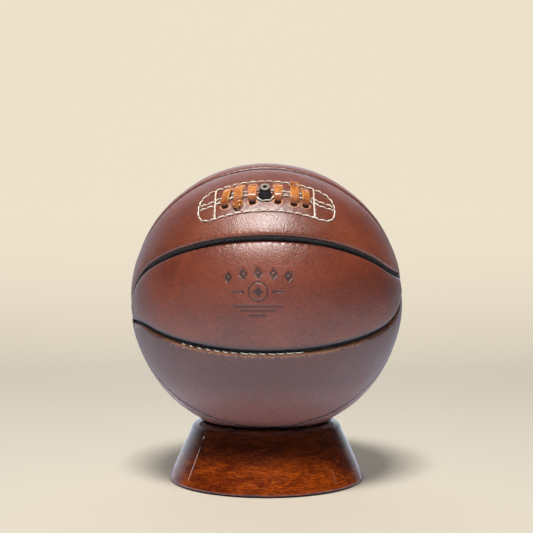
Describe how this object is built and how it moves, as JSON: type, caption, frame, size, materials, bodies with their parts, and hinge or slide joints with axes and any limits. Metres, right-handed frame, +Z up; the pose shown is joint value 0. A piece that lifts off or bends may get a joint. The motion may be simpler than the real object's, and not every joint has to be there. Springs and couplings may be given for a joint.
{
  "type": "laced leather basketball on a wooden stand",
  "caption": "Old-pattern inflatable leather ball with welted gores, a laced opening and a valve stem, resting in a turned wooden display stand with a dished seat.",
  "frame": {"origin": "centre of the stand's underside, on the surface it rests on", "axes": "+Z up through the stand's axis and the ball's centre; -Y is the front, with the laced opening up and forward; the ball's ends lie along X"},
  "size_m": [0.2382, 0.2394, 0.2788],
  "materials": {
    "leather": "waxed chestnut leather, fine grain, satin",
    "welt_leather": "black dyed leather welt, matte",
    "lining_cloth": "unbleached cotton lining",
    "waxed_thread": "cream waxed thread",
    "lace_leather": "tan thong leather with pale cut edges",
    "rubber": "black rubber, matte",
    "valve_plug": "grey rubber, worn",
    "polished_wood": "dark red-brown wood, high gloss",
    "felt": "dark felt"
  },
  "bodies": {
    "stand": {"stand": "polished_wood", "base_felt": "felt"},
    "ball": {"panel_front": "leather", "panel_lace": "leather", "panel_top": "leather", "panel_upper_back": "leather", "panel_back": "leather", "panel_lower_back": "leather", "panel_bottom": "leather", "panel_lower_front": "leather", "opening_patch": "leather", "tongue": "lace_leather", "lining_front": "lining_cloth", "lining_lace": "lining_cloth", "lining_top": "lining_cloth", "lining_upper_back": "lining_cloth", "lining_back": "lining_cloth", "lining_lower_back": "lining_cloth", "lining_bottom": "lining_cloth", "lining_lower_front": "lining_cloth", "welt_lower_front_to_front": "welt_leather", "welt_front_to_lace": "welt_leather", "welt_lace_to_top": "welt_leather", "welt_top_to_upper_back": "welt_leather", "welt_upper_back_to_back": "welt_leather", "welt_back_to_lower_back": "welt_leather", "welt_lower_back_to_bottom": "welt_leather", "welt_bottom_to_lower_front": "welt_leather", "end_welt_left": "welt_leather", "end_welt_right": "welt_leather", "outline_stitching": "waxed_thread", "slit_stitching_lower": "waxed_thread", "slit_stitching_upper": "waxed_thread", "bar_stitching_left": "waxed_thread", "bar_stitching_right": "waxed_thread", "lace": "lace_leather", "bladder": "rubber", "bladder_patch": "rubber", "valve_stem": "rubber", "valve_core": "rubber"},
    "valve_plug": {"valve_plug": "valve_plug"}
  },
  "joints": [
    {"name": "ball_lift", "type": "slide", "parent": "stand", "child": "ball", "axis": [0, 0, 1], "range_m": [0, 0.06]},
    {"name": "valve_plug_pull", "type": "slide", "parent": "ball", "child": "valve_plug", "axis": [-0.01, -0.6868, 0.7268], "range_m": [0, 0.013]}
  ]
}
